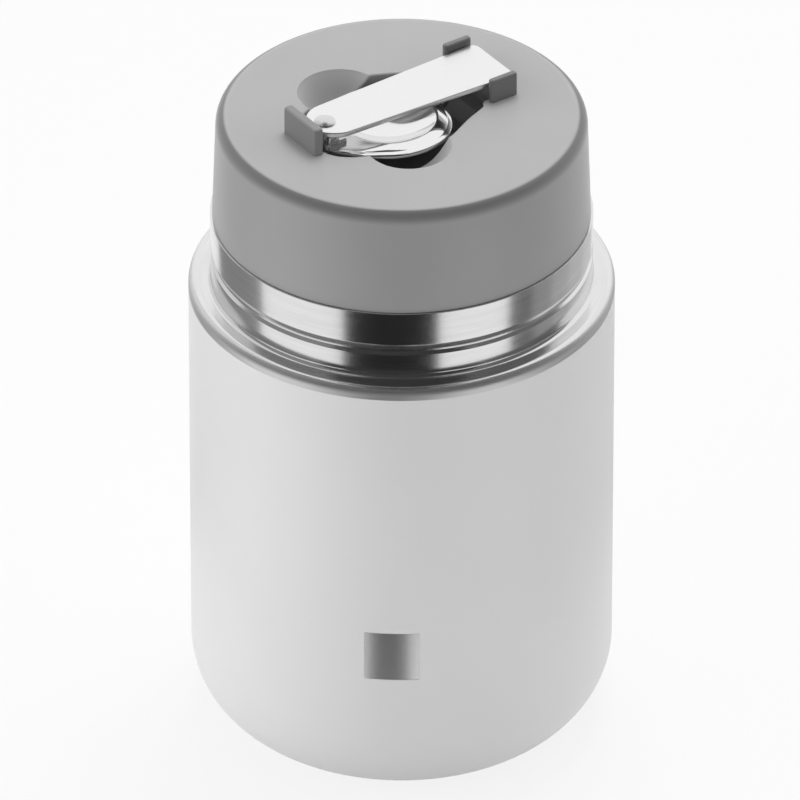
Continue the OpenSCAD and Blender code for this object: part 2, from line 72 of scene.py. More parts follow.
LID_R = high("lid_cover").x
LID_Z = low("lid_cover").z
LID_TOP = high("lid_cover").z
LID_DRAFT = 0.9
LID_ROUND = 3.0
LID_TOP_T = 3.2
COVER_T = 1.6
COVER_IR = 42.5
BODY_R = high("outer_shell").x
COAT_Z = high("outer_shell").z
SHOULDER_Z = COAT_Z + 3.1
SHOULDER_ROUND = 2.2
SHELL_T = 0.8
NECK_R = 44.8
NECK_TOP = LID_Z - 0.03
NECK_FILLET = 1.2
GROOVE_LOW = SHOULDER_Z + 6.1
GROOVE_DEEP = SHOULDER_Z + 6.8
GROOVE_HIGH = SHOULDER_Z + 8.9
GROOVE_DEPTH = 0.7
TUBE_R = 39.8
MOUTH_Z = high("inner_vessel").z

SEAT_ANGLE = math.radians(34.8)
RIVET_BACK = 20.6
SEAT_SIDE = 1.6
LAND_ALONG = 7.5
LAND_R = 10.0
BOWL_ALONG = 17.6
BOWL_R = 11.6
BOWL_DEPTH = 4.0
BOWL_T = 1.0
RIM_R = 15.4
RIM_FALL = 1.2
FAR_FALL = 0.9
RIM_Z = LID_TOP - 0.6
HANDLE_BACK = 3.9
HANDLE_LEN = 48.2
HANDLE_NEAR_R = 6.7
HANDLE_FAR_HW = 8.2
HANDLE_Z = LID_TOP + 3.0
HANDLE_T = 1.3
HANDLE_TOP = HANDLE_Z + HANDLE_T
POCKET_GAP = 1.3
POCKET_DEPTH = 8.5
HEEL_GAP = 2.6
SCALLOP_R = 10.0
SCALLOP_DEPTH = 5.5
SCALLOP_SIDE = 14.1
SCALLOP_ALONG = 14.0
WEDGE_HW = 14.2
WEDGE_END_HW = 9.6
WEDGE_START = BOWL_ALONG + 9.2
WEDGE_END = 38.8
CHANNEL_HW = 8.0
CHANNEL_END = 45.0
CHANNEL_DEPTH = 6.0
CUSP_ROUND = 3.0

CLIP_GAP = 0.3
HEEL_FACE = -HANDLE_BACK - CLIP_GAP
HEEL_T = 2.5
HEEL_LEN = 13.2
HEEL_SIDE = 0.8
HEEL_H = 7.0
TIP_IN = HANDLE_FAR_HW + CLIP_GAP
TIP_T = 1.8
TIP_LEN = 7.4
TIP_BACK = 0.6
TIP_ALONG = HANDLE_LEN - TIP_BACK - TIP_LEN / 2
TIP_H = 6.0

THREAD_STARTS = 3
THREAD_LEAD = 12.0
THREAD_DOWN = 3.2
RIDGE_TURNS = 0.6
RIDGE_H = 0.9
RIDGE_W = 1.8
RIDGE_FLANK = 0.5

BADGE_X = -2.3
BADGE_Z = 44.8
BADGE_HALF = 6.55
BADGE_CORNER = 0.4


def seat(x, y, z=0.0):
    """Point of the spoon's frame, where X runs from the rivet to the handle's end, in the part's frame."""
    u, v = x - RIVET_BACK, y + SEAT_SIDE
    c, s = math.cos(SEAT_ANGLE), math.sin(SEAT_ANGLE)
    return Vector((c * u - s * v, s * u + c * v, z))


# ---------- mesh helpers, in millimetres ----------

def make(name, parts, body, mat, sharp=35):
    """One smooth object from (points, faces) parts, on its body and material."""
    verts, faces = [], []
    for points, polys in parts:
        base = len(verts)
        verts += [tuple(MM * c for c in p) for p in points]
        faces += [tuple(base + i for i in f) for f in polys]
    mesh = bpy.data.meshes.new(name)
    mesh.from_pydata(verts, [], faces)
    mesh.validate()
    mesh.polygons.foreach_set("use_smooth", [True] * len(mesh.polygons))
    mesh.set_sharp_from_angle(angle=math.radians(sharp))
    mesh.materials.append(mat)
    obj = bpy.data.objects.new(name, mesh)
    bpy.context.scene.collection.objects.link(obj)
    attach(obj, body)
    return obj


def fillet(corners, steps=6):
    """Closed outline through corners (x, y, radius), each rounded by its own radius."""
    out = []
    for i, (x, y, r) in enumerate(corners):
        p = Vector((x, y))
        a = (Vector(corners[i - 1][:2]) - p).normalized()
        b = (Vector(corners[(i + 1) % len(corners)][:2]) - p).normalized()
        angle = a.angle(b)
        if r <= 0 or math.pi - angle < 1e-3:
            out.append(p)
            continue
        centre = p + (a + b).normalized() * (r / math.sin(angle / 2))
        arm = p + a * (r / math.tan(angle / 2)) - centre
        turn = (math.pi - angle) * (1 if a.x * b.y - a.y * b.x < 0 else -1)
        n = max(2, math.ceil(steps * abs(turn) / (math.pi / 2)))
        out += [centre + Matrix.Rotation(turn * k / n, 2) @ arm for k in range(n + 1)]
    return out


def join_rings(rings, closed):
    """Faces between rings of point numbers. A ring of one point closes a cap."""
    faces = []
    pairs = list(zip(rings, rings[1:]))
    if closed:
        pairs.append((rings[-1], rings[0]))
    for a, b in pairs:
        n = max(len(a), len(b))
        for j in range(n):
            k = (j + 1) % n
            if len(a) > 1 and len(b) > 1:
                faces.append((a[j], a[k], b[k], b[j]))
            elif len(a) > 1:
                faces.append((a[j], a[k], b[0]))
            else:
                faces.append((a[0], b[k], b[j]))
    return faces


def lathe(profile, closed=True, segments=224):
    """A profile of (radius, height) points turned about Z."""
    verts, rings = [], []
    for r, z in profile:
        n = segments if r > 1e-6 else 1
        rings.append(list(range(len(verts), len(verts) + n)))
        verts += [(r * math.cos(TAU * j / segments), r * math.sin(TAU * j / segments), z) for j in range(n)]
    return verts, join_rings(rings, closed)


def stack(rings):
    """A closed skin through rings of points. The first and last rings are closed by flat faces."""
    verts, numbers = [], []
    for ring in rings:
        numbers.append(list(range(len(verts), len(verts) + len(ring))))
        verts += ring
    faces = join_rings(numbers, False)
    for end, flip in ((numbers[0], True), (numbers[-1], False)):
        if len(end) > 1:
            faces.append(tuple(reversed(end)) if flip else tuple(end))
    return verts, faces


def with_normals(points):
    """Pairs of a point and its outward normal, for a closed outline that runs anticlockwise."""
    out = []
    for i, p in enumerate(points):
        d = points[(i + 1) % len(points)] - points[i - 1]
        out.append((p, Vector((d.y, -d.x)).normalized()))
    return out


def evenly(points, count):
    """A closed outline walked again in count equal steps."""
    n = len(points)
    ends = [0.0]
    for i in range(n):
        ends.append(ends[-1] + (points[(i + 1) % n] - points[i]).length)
    out, i = [], 0
    for k in range(count):
        want = ends[-1] * k / count
        while ends[i + 1] < want:
            i += 1
        t = (want - ends[i]) / (ends[i + 1] - ends[i])
        out.append(points[i].lerp(points[(i + 1) % n], t))
    return out


def slab(outline, z0, z1, r0, r1, place, steps=4):
    """A plate with rounded lower and upper edges. place(x, y, z) puts a point in the part's frame."""
    guard = 0.04
    rings = [(r0 + guard, z0)]
    rings += [(r0 * (1 - math.sin(a)), z0 + r0 * (1 - math.cos(a)))
              for a in (math.pi / 2 * k / steps for k in range(steps + 1))]
    rings += [(r1 * (1 - math.cos(a)), z1 - r1 * (1 - math.sin(a)))
              for a in (math.pi / 2 * k / steps for k in range(steps + 1))]
    rings += [(r1 + guard, z1)]
    pairs = with_normals(outline)
    return stack([[place(*(p - n * inset), z) for p, n in pairs] for inset, z in rings])


def block(x, y, size_x, size_y, z0, z1, corner, r0, r1, place=seat):
    """An upright block with rounded corners and edges, centred on (x, y)."""
    hx, hy = size_x / 2, size_y / 2
    outline = fillet([(x - hx, y - hy, corner), (x + hx, y - hy, corner),
                      (x + hx, y + hy, corner), (x - hx, y + hy, corner)])
    return slab(outline, z0, z1, r0, r1, place)


# ---------- node helpers ----------

def new_material(name, color, metallic, roughness, **sockets):
    """A Principled material with plain socket values. Returns its node tree and its shader."""
    mat = bpy.data.materials.new(name)
    mat.use_nodes = True
    shader = mat.node_tree.nodes["Principled BSDF"]
    shader.inputs["Base Color"].default_value = (*color, 1)
    shader.inputs["Metallic"].default_value = metallic
    shader.inputs["Roughness"].default_value = roughness
    for key, value in sockets.items():
        shader.inputs[key.replace("_", " ")].default_value = value
    return mat, mat.node_tree, shader


def math_node(tree, operation, *values):
    """A math node on numbers and sockets. Returns its output."""
    node = tree.nodes.new("ShaderNodeMath")
    node.operation = operation
    for i, value in enumerate(values):
        if isinstance(value, (int, float)):
            node.inputs[i].default_value = value
        else:
            tree.links.new(value, node.inputs[i])
    return node.outputs[0]


def ramp(tree, value, low_in, high_in, low_out, high_out, smooth=False):
    """value between low_in and high_in, carried over to low_out and high_out."""
    node = tree.nodes.new("ShaderNodeMapRange")
    node.interpolation_type = "SMOOTHSTEP" if smooth else "LINEAR"
    tree.links.new(value, node.inputs["Value"])
    limits = {"From Min": low_in, "From Max": high_in, "To Min": low_out, "To Max": high_out}
    for key, number in limits.items():
        node.inputs[key].default_value = number
    return node.outputs["Result"]


def place_of(tree):
    """X, Y and Z of the surface point in the part's frame at rest, in metres, and the whole vector."""
    coords = tree.nodes.new("ShaderNodeTexCoord")
    split = tree.nodes.new("ShaderNodeSeparateXYZ")
    tree.links.new(coords.outputs["Object"], split.inputs[0])
    return (*split.outputs, coords.outputs["Object"])


def noise(tree, vector, scale, detail=3.0, roughness=0.55):
    """Noise around 0.5 with scale lumps per unit of the vector."""
    node = tree.nodes.new("ShaderNodeTexNoise")
    node.inputs["Scale"].default_value = scale
    node.inputs["Detail"].default_value = detail
    node.inputs["Roughness"].default_value = roughness
    tree.links.new(vector, node.inputs["Vector"])
    return node.outputs["Fac"]


def vector(tree, *values):
    """A vector of three numbers or sockets."""
    node = tree.nodes.new("ShaderNodeCombineXYZ")
    for i, value in enumerate(values):
        if isinstance(value, (int, float)):
            node.inputs[i].default_value = value
        else:
            tree.links.new(value, node.inputs[i])
    return node.outputs[0]


def bump(tree, shader, height, distance, strength=1.0, below=None):
    """Bump from a height of 0 to 1 over distance metres, on top of another bump if one is given."""
    node = tree.nodes.new("ShaderNodeBump")
    node.inputs["Strength"].default_value = strength
    node.inputs["Distance"].default_value = distance
    tree.links.new(height, node.inputs["Height"])
    if below is not None:
        tree.links.new(below, node.inputs["Normal"])
    tree.links.new(node.outputs["Normal"], shader.inputs["Normal"])
    return node.outputs["Normal"]


def mix(tree, share, first, second):
    """Colour between first and second by share. Each is a colour or a socket."""
    node = tree.nodes.new("ShaderNodeMix")
    node.data_type = "RGBA"
    tree.links.new(share, node.inputs[0])
    for socket, value in ((node.inputs[6], first), (node.inputs[7], second)):
        if isinstance(value, tuple):
            socket.default_value = (*value, 1)
        else:
            tree.links.new(value, socket)
    return node.outputs[2]


def grey(value):
    """A neutral colour."""
    return (value, value, value)


# ---------- finishes ----------

def radius_of(tree, x, y):
    """Distance from the jar's axis, or from any other point that x and y start at."""
    return math_node(tree, "SQRT", math_node(
        tree, "ADD", math_node(tree, "MULTIPLY", x, x), math_node(tree, "MULTIPLY", y, y)))


def ring_coords(tree, around, along):
    """Noise coordinates on a turned piece: slow around the axis and fast across it, with no seam."""
    x, y, z, _ = place_of(tree)
    r = math_node(tree, "MAXIMUM", radius_of(tree, x, y), 1e-5)
    cos = math_node(tree, "MULTIPLY", math_node(tree, "DIVIDE", x, r), around)
    sin = math_node(tree, "MULTIPLY", math_node(tree, "DIVIDE", y, r), around)
    across = math_node(tree, "MULTIPLY", math_node(tree, "ADD", z, r), along)
    return vector(tree, cos, sin, across)


def spun_steel(name, color, roughness, lines=9000.0, depth=0.000004, anisotropic=0.6):
    """Steel brushed or spun around the jar's axis."""
    line_around, tone_around, tone_across = 6.0, 3.0, 900.0
    mat, tree, shader = new_material(name, grey(color), 1.0, roughness, Anisotropic=anisotropic)
    tangent = tree.nodes.new("ShaderNodeTangent")
    tangent.direction_type = "RADIAL"
    tangent.axis = "Z"
    tree.links.new(tangent.outputs[0], shader.inputs["Tangent"])
    lay = noise(tree, ring_coords(tree, line_around, lines), 1.0, 4.0, 0.6)
    tone = noise(tree, ring_coords(tree, tone_around, tone_across), 1.0, 2.0)
    tree.links.new(mix(tree, ramp(tree, tone, 0.3, 0.7, 0, 1), grey(color * 0.93), grey(color)),
                   shader.inputs["Base Color"])
    tree.links.new(ramp(tree, lay, 0.3, 0.7, roughness * 0.85, roughness * 1.2), shader.inputs["Roughness"])
    bump(tree, shader, lay, depth, 0.5)
    return mat


def moulded_plastic(name, color, roughness, grain=0.00001, scale=5200.0, **sockets):
    """Matte moulded plastic: a fine spark-eroded grain and a slow, slight change of tone."""
    tone_scale = 60.0
    mat, tree, shader = new_material(name, grey(color), 0.0, roughness, **sockets)
    point = place_of(tree)[3]
    fine = noise(tree, point, scale, 2.0, 0.6)
    slow = noise(tree, point, tone_scale, 2.0)
    tree.links.new(mix(tree, ramp(tree, slow, 0.35, 0.65, 0, 1), grey(color * 0.975), grey(color)),
                   shader.inputs["Base Color"])
    tree.links.new(ramp(tree, fine, 0.3, 0.7, roughness * 0.94, roughness * 1.06),
                   shader.inputs["Roughness"])
    bump(tree, shader, fine, grain, 0.35)
    return mat


def tone_down(tree, share, tone):
    """Multiplies a material's colour by tone where share is 1."""
    shader = tree.nodes["Principled BSDF"]
    plain = shader.inputs["Base Color"].links[0].from_socket
    darker = tree.nodes.new("ShaderNodeMix")
    darker.data_type = "RGBA"
    darker.blend_type = "MULTIPLY"
    tree.links.new(share, darker.inputs[0])
    tree.links.new(plain, darker.inputs[6])
    darker.inputs[7].default_value = (*grey(tone), 1)
    tree.links.new(darker.outputs[2], shader.inputs["Base Color"])


def lid_painted_shade(mat):
    """Painted shade: darkens the lid's colour along its rounded top edge and deep in its pocket, where shade
    falls.
    """
    painted_edge_shade, painted_pocket_shade = 0.36, 0.42
    tree = mat.node_tree
    x, y, z, _ = place_of(tree)
    down = math_node(tree, "SUBTRACT", LID_TOP, math_node(tree, "DIVIDE", z, MM))
    begins = ramp(tree, down, 0.05, 0.35, 0, 1, True)
    ends = ramp(tree, down, 0.6, LID_ROUND + 0.6, 1, 0, True)
    outer = math_node(tree, "GREATER_THAN", radius_of(tree, x, y), (LID_R - LID_ROUND - 2) * MM)
    edge = math_node(tree, "MULTIPLY", math_node(tree, "MULTIPLY", begins, ends), outer)
    # Painted shade along the lid's rounded top edge.
    tone_down(tree, edge, painted_edge_shade)
    deep = ramp(tree, down, 0.6, SCALLOP_DEPTH, 0, 1)
    pocket = math_node(tree, "MULTIPLY", deep, math_node(tree, "SUBTRACT", 1, outer))
    # Painted shade deeper down in the pocket and the finger scallops.
    tone_down(tree, pocket, painted_pocket_shade)


def rough_lip(mat):
    """The neck piece is blasted at its outer edge, where the coat begins."""
    starts, ends, extra = BODY_R - 1.2, BODY_R - 0.3, 0.32
    tree = mat.node_tree
    shader = tree.nodes["Principled BSDF"]
    x, y, _, _ = place_of(tree)
    share = ramp(tree, radius_of(tree, x, y), starts * MM, ends * MM, 0, extra, True)
    plain = shader.inputs["Roughness"].links[0].from_socket
    tree.links.new(math_node(tree, "ADD", plain, share), shader.inputs["Roughness"])


def polished_steel(name, color, roughness, streak=0.3):
    """Polished steel with faint lines along the spoon and a slight waviness."""
    along_scale, across_scale, wave_scale = 60, 5000, 140.0
    mat, tree, shader = new_material(name, grey(color), 1.0, roughness)
    x, y, z, point = place_of(tree)
    c, s = math.cos(SEAT_ANGLE), math.sin(SEAT_ANGLE)
    along = math_node(tree, "ADD", math_node(tree, "MULTIPLY", x, c), math_node(tree, "MULTIPLY", y, s))
    across = math_node(tree, "SUBTRACT",
                       math_node(tree, "MULTIPLY", y, c), math_node(tree, "MULTIPLY", x, s))
    lines = noise(tree, vector(tree, math_node(tree, "MULTIPLY", along, along_scale),
                               math_node(tree, "MULTIPLY", across, across_scale), z), 1.0, 3.0)
    share = ramp(tree, lines, 0.35, 0.65, 0, 1)
    tone = mix(tree, share, grey(color * (1 - streak * 0.1)), grey(color))
    tree.links.new(tone, shader.inputs["Base Color"])
    tree.links.new(ramp(tree, lines, 0.3, 0.7, roughness * (1 - streak), roughness * (1 + streak)),
                   shader.inputs["Roughness"])
    bump(tree, shader, noise(tree, point, wave_scale, 1.0), 0.00002, 0.3)
    return mat


def badge_share(tree, x, y, z):
    """1 on the badge's square, which has rounded corners, and 0 elsewhere."""
    inner, soft = BADGE_HALF - BADGE_CORNER, 0.05

    def past_inner(at, centre):
        offset = math_node(tree, "SUBTRACT", math_node(tree, "DIVIDE", at, MM), centre)
        past = math_node(tree, "SUBTRACT", math_node(tree, "ABSOLUTE", offset), inner)
        return math_node(tree, "MAXIMUM", past, 0)

    away = radius_of(tree, past_inner(x, BADGE_X), past_inner(z, BADGE_Z))
    inside = ramp(tree, away, BADGE_CORNER - soft, BADGE_CORNER + soft, 1, 0)
    return math_node(tree, "MULTIPLY", inside, math_node(tree, "LESS_THAN", y, 0))


def coated_body():
    """Satin white powder coat, with a blank square of bare etched steel at the front."""
    white, peel_scale, tone_scale, etch_across, etch_along = 0.82, 1100.0, 25.0, 300, 6000
    mat, tree, shader = new_material("body_coat", grey(white), 0.0, 0.42)
    x, y, z, point = place_of(tree)
    badge = badge_share(tree, x, y, z)
    peel = noise(tree, point, peel_scale, 2.0, 0.5)
    slow = noise(tree, point, tone_scale, 2.0)
    coat = mix(tree, ramp(tree, slow, 0.35, 0.65, 0, 1), grey(white * 0.985), grey(white))
    etch = noise(tree, vector(tree, math_node(tree, "MULTIPLY", x, etch_across),
                              math_node(tree, "MULTIPLY", z, etch_along), 0), 1.0, 3.0)
    steel = mix(tree, ramp(tree, etch, 0.3, 0.7, 0, 1), grey(0.66), grey(0.7))
    tree.links.new(mix(tree, badge, coat, steel), shader.inputs["Base Color"])
    tree.links.new(badge, shader.inputs["Metallic"])
    satin = ramp(tree, peel, 0.3, 0.7, 0.40, 0.45)
    gloss = ramp(tree, badge, 0, 1, 1, 0.6)
    tree.links.new(math_node(tree, "MULTIPLY", satin, gloss), shader.inputs["Roughness"])
    below = bump(tree, shader, peel, 0.000012, 0.4)
    bump(tree, shader, math_node(tree, "SUBTRACT", 1, badge), 0.00006, 1.0, below)
    return mat


COAT = coated_body()
NECK_STEEL = spun_steel("neck_steel", 0.8, 0.17, anisotropic=0.4)
rough_lip(NECK_STEEL)
VESSEL_STEEL = spun_steel("vessel_steel", 0.66, 0.3)
BASE_STEEL = spun_steel("base_steel", 0.66, 0.3, lines=5000.0)
FOIL = spun_steel("foil", 0.7, 0.25, lines=300.0, depth=0.00008, anisotropic=0.0)
GETTER_METAL = moulded_plastic("getter_metal", 0.12, 0.7)
SEAL_GLASS = moulded_plastic("seal_glass", 0.1, 0.15, grain=0.000002)
LID_PLASTIC = moulded_plastic("lid_plastic", 0.345, 0.42, Sheen_Weight=0.35, Sheen_Roughness=0.45)
# Paints shade on the lid's rounded top edge and in its pocket.
lid_painted_shade(LID_PLASTIC)
CLIP_PLASTIC = moulded_plastic("clip_plastic", 0.2, 0.42, IOR=1.75)
# Painted shade: a darker copy of the clip plastic, for the two clips beside the handle's end, which stand in
# shade.
CLIP_PLASTIC_PAINTED_SHADE = moulded_plastic("clip_plastic_painted_shade", 0.13, 0.36, IOR=1.75)
LINER_PLASTIC = moulded_plastic("liner_plastic", 0.5, 0.35)
FOAM = moulded_plastic("foam", 0.8, 0.8, grain=0.0003, scale=500.0)
SILICONE = moulded_plastic("silicone", 0.62, 0.4, grain=0.000004,
                           Subsurface_Weight=0.3, Subsurface_Scale=0.002)
SPOON_STEEL = polished_steel("spoon_steel", 0.86, 0.07)
HANDLE_STEEL = polished_steel("handle_steel", 0.87, 0.28, 0.03)
PIVOT_STEEL = polished_steel("pivot_steel", 0.72, 0.3)


# ---------- jar ----------

def ridge(wall_r, z0, start):
    """One ridge of the thread, with soft corners and ends that fade into the wall."""
    steps, sink, end_h, fade, soft = 72, 0.3, 0.05, 1 / 12, 0.15
    crest = RIDGE_W / 2 - RIDGE_FLANK
    rings = []
    for i in range(steps + 1):
        t = i / steps
        h = RIDGE_H * min(1, min(t, 1 - t) / fade + end_h)
        a = start + TAU * RIDGE_TURNS * t
        z = z0 + THREAD_LEAD * RIDGE_TURNS * t
        half = [(-sink, RIDGE_W / 2),
                (h * (1 - soft), crest + RIDGE_FLANK * soft),
                (h, crest - RIDGE_FLANK * soft)]
        section = [(wall_r + d, side * v) for side, row in ((-1, half), (1, half[::-1])) for d, v in row]
        rings.append([(r * math.cos(a), r * math.sin(a), z + v) for r, v in section])
    return stack(rings)


def neck_collar():
    """Shoulder ledge, neck band with its rolled groove, and the tube with the thread."""
    in_r, tube_ir = NECK_R - SHELL_T, TUBE_R - SHELL_T
    under_top, under_shoulder = NECK_TOP - SHELL_T, SHOULDER_Z - SHELL_T
    skirt_r, rolled_z = BODY_R - SHELL_T, MOUTH_Z - 2
    profile = fillet([
        (BODY_R, COAT_Z, 0), (BODY_R, SHOULDER_Z, SHOULDER_ROUND), (NECK_R, SHOULDER_Z, NECK_FILLET),
        (NECK_R, GROOVE_LOW, 0.3), (NECK_R - GROOVE_DEPTH, GROOVE_DEEP, 0.25), (NECK_R, GROOVE_HIGH, 0.5),
        (NECK_R, NECK_TOP, 0.1), (TUBE_R, NECK_TOP, 0.2), (TUBE_R, rolled_z, 0), (tube_ir, rolled_z, 0),
        (tube_ir, under_top, 0), (in_r, under_top, 0), (in_r, under_shoulder, 0),
        (skirt_r, under_shoulder, SHOULDER_ROUND - SHELL_T), (skirt_r, COAT_Z, 0)], steps=10)
    parts = [lathe([tuple(p) for p in profile])]
    thread_z = MOUTH_Z - THREAD_DOWN - RIDGE_TURNS * THREAD_LEAD
    parts += [ridge(TUBE_R, thread_z, TAU * k / THREAD_STARTS) for k in range(THREAD_STARTS)]
    piece = make("neck_collar_skin", parts, "jar", NECK_STEEL)
    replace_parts(piece, "neck_collar")


neck_collar()


# ---------- lid ----------

def exit_circle(cx, cy, r, c, s):
    """Distance along the direction (c, s) at which a ray from the bowl's centre leaves a circle, or 0."""
    b = c * cx + s * cy
    under = b * b - (cx * cx + cy * cy - r * r)
    return b + math.sqrt(under) if under > 0 and b + math.sqrt(under) > 0 else 0.0


def smooth_step(t):
    """0 up to t = 0 and 1 from t = 1, with a soft rise between."""
    t = min(1, max(0, t))
    return t * t * (3 - 2 * t)


def soft_max(a, b, k):
    """The larger of a and b, rounded over where they differ by less than k."""
    h = max(k - abs(a - b), 0) / k
    return max(a, b) + h * h * k / 4


def soft_min(a, b, k):
    """The smaller of a and b, rounded over where they differ by less than k."""
    h = max(k - abs(a - b), 0) / k
    return min(a, b) - h * h * k / 4


def twin_exit(grow, c, s):
    """Where a ray from the bowl's centre leaves the outline of the bowl and its plate, grown by grow."""
    steps = 24
    return max(exit_circle((LAND_ALONG - BOWL_ALONG) * (1 - k / steps), 0,
                           LAND_R + (RIM_R - LAND_R) * k / steps + grow, c, s) for k in range(steps + 1))


def pocket_exit(angle):
    """Where a ray from the bowl's centre meets the pocket's upright wall."""
    c, s = math.cos(angle), math.sin(angle)
    best = twin_exit(POCKET_GAP, c, s)
    heel = exit_circle(LAND_ALONG - BOWL_ALONG, 0, LAND_R + HEEL_GAP, c, s)
    if c < -0.05:
        heel = soft_min(heel, (BOWL_ALONG + HANDLE_BACK) / -c, 2.0)
    best = soft_max(best, heel, 1.5)
    if c > 0.05:
        start, end = WEDGE_START - BOWL_ALONG, WEDGE_END - BOWL_ALONG
        slope = (WEDGE_END_HW - WEDGE_HW) / (end - start)
        side_hit = (WEDGE_HW - slope * start) / (abs(s) - slope * c)
        side_hit -= CUSP_ROUND * min(1, max(0, (start - 3 - side_hit * c) / 4))
        best = soft_max(best, soft_min(side_hit, end / c, 2.0), CUSP_ROUND)
        channel = soft_min((CHANNEL_END - BOWL_ALONG) / c, CHANNEL_HW / max(abs(s), 1e-6), 3.0)
        best = soft_max(best, channel, 2.0)
    return best


def scallop_exit(direction):
    """Where a ray from the bowl's centre leaves the finger scallops, or 0."""
    return max(exit_circle(SCALLOP_ALONG - BOWL_ALONG, side * SCALLOP_SIDE, SCALLOP_R, *direction)
               for side in (-1, 1))


def lid_surface(x, y):
    """Height of the lid's top outside the pocket, with the two finger scallops as dished hollows."""
    z = LID_TOP
    for side in (-1, 1):
        away = math.hypot(x - SCALLOP_ALONG, y - side * SCALLOP_SIDE) / SCALLOP_R
        if away < 1:
            z = min(z, LID_TOP - SCALLOP_DEPTH * (1 - away ** 2) ** 0.9)
    return z


def pocket_depth(x):
    """The pocket's depth: shallower in the channel under the handle's end."""
    step = 1.2
    return POCKET_DEPTH + (CHANNEL_DEPTH - POCKET_DEPTH) * smooth_step((x - WEDGE_END) / step)


def pocket_walls(count):
    """The pocket's outline in count even steps, with its normals."""
    rays = [TAU * k / 3000 for k in range(3000)]
    fine = [Vector((BOWL_ALONG + pocket_exit(a) * math.cos(a), pocket_exit(a) * math.sin(a))) for a in rays]
    return with_normals(evenly(fine, count))


def lid_cover():
    """Outer cover of the lid with its rounded edge and the spoon's pocket, as one closed skin."""
    edge, floor_round, foot_round, ledge = 0.5, 1.2, 0.2, 2.5
    walls = pocket_walls(600)
    middle = Vector((BOWL_ALONG, 0))
    aims = [(p - middle).normalized() for p, n in walls]
    outer = [middle + aim * max((p - middle).length + ledge, scallop_exit(aim) + 0.15)
             for aim, (p, n) in zip(aims, walls)]
    quarter = [math.pi / 2 * k / 5 for k in range(6)]

    def inside(share):
        points = [middle.lerp(p - n * floor_round, share) for p, n in walls]
        return [seat(*q, LID_TOP - pocket_depth(q.x)) for q in points]

    def near_floor(a):
        points = [p - n * floor_round * (1 - math.sin(a)) for p, n in walls]
        return [seat(*q, LID_TOP - pocket_depth(q.x) + floor_round * (1 - math.cos(a))) for q in points]

    def over_edge(a):
        points = [p + n * edge * (1 - math.cos(a)) for p, n in walls]
        return [seat(*q, lid_surface(*q) - edge * (1 - math.sin(a))) for q in points]

    def outward(share):
        points = [(p + n * (edge + 0.08)).lerp(q, share) for (p, n), q in zip(walls, outer)]
        return [seat(*q, lid_surface(*q)) for q in points]

    rings = [inside(share) for share in (0.05, 0.3, 0.55, 0.75, 0.88)]
    rings += [near_floor(a) for a in quarter] + [over_edge(a) for a in quarter]
    even, crowded = [0.0, 0.12, 0.24, 0.36, 0.48, 0.6], [0.7, 0.79, 0.87, 0.92, 0.96, 0.982, 1.0]
    rings += [outward(share) for share in even + crowded]
    spokes = [math.atan2(p.y, p.x) for p in rings[-1]]

    def circle(r, z):
        return [Vector((r * math.cos(a), r * math.sin(a), z)) for a in spokes]

    flat_r = LID_R - LID_DRAFT - LID_ROUND
    near, far = rings[-1], circle(flat_r, LID_TOP)
    rings += [[p.lerp(q, share) for p, q in zip(near, far)] for share in (0.35, 0.7, 0.97)]
    for k in range(13):
        a = math.pi / 2 * k / 12
        rings.append(circle(flat_r + LID_ROUND * math.sin(a), LID_TOP - LID_ROUND * (1 - math.cos(a))))
    rings.append(circle(LID_R - LID_DRAFT * 0.5, (LID_TOP - LID_ROUND + LID_Z) / 2))
    rings += [circle(LID_R - foot_round * (1 - math.cos(a)) - 0.02, LID_Z + foot_round * (1 - math.sin(a)))
              for a in quarter]
    under = LID_TOP - LID_TOP_T
    rings += [circle(COVER_IR, LID_Z), circle(COVER_IR, under)]

    def tub(grow, z_of):
        return [seat(*(q + aim * grow), z_of(q.x)) for q, aim in zip(outer, aims)]

    def tub_floor(x):
        return LID_TOP - pocket_depth(x) - COVER_T

    rings += [tub(COVER_T + 0.3, lambda x: under), tub(COVER_T, lambda x: under - 0.3),
              tub(COVER_T, tub_floor)]
    rings.append([seat(*q, tub_floor(q.x)) for q in (middle.lerp(p, 0.1) for p in outer)])
    piece = make("lid_cover_skin", [stack(rings)], "lid", LID_PLASTIC)
    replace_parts(piece, "lid_cover")


def clips():
    """The stop behind the rivet, with its nib, and the two clips beside the handle's end."""
    base = LID_TOP - 0.2
    nib_z, nib_side, nib_w, nib_h = HANDLE_TOP + CLIP_GAP, -3, 1.9, 1.1
    heel = [block(HEEL_FACE - HEEL_T / 2, HEEL_SIDE, HEEL_T, HEEL_LEN, base, LID_TOP + HEEL_H, 0.8, 0, 0.7),
            block(HEEL_FACE - 0.2, nib_side, nib_w, nib_w, nib_z, nib_z + nib_h, 0.9, 0.2, 0.4)]
    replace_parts(make("heel_clip_skin", heel, "lid", CLIP_PLASTIC), "heel_clip")
    for name, side in (("tip_clip_rear", 1), ("tip_clip_front", -1)):
        away = side * (TIP_IN + TIP_T / 2)
        clip = block(TIP_ALONG, away, TIP_LEN, TIP_T, base, LID_TOP + TIP_H, 0.7, 0, 0.6)
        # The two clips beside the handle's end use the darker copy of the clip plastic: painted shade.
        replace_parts(make(name + "_skin", [clip], "lid", CLIP_PLASTIC_PAINTED_SHADE), name)


lid_cover()
clips()


# ---------- spoon ----------

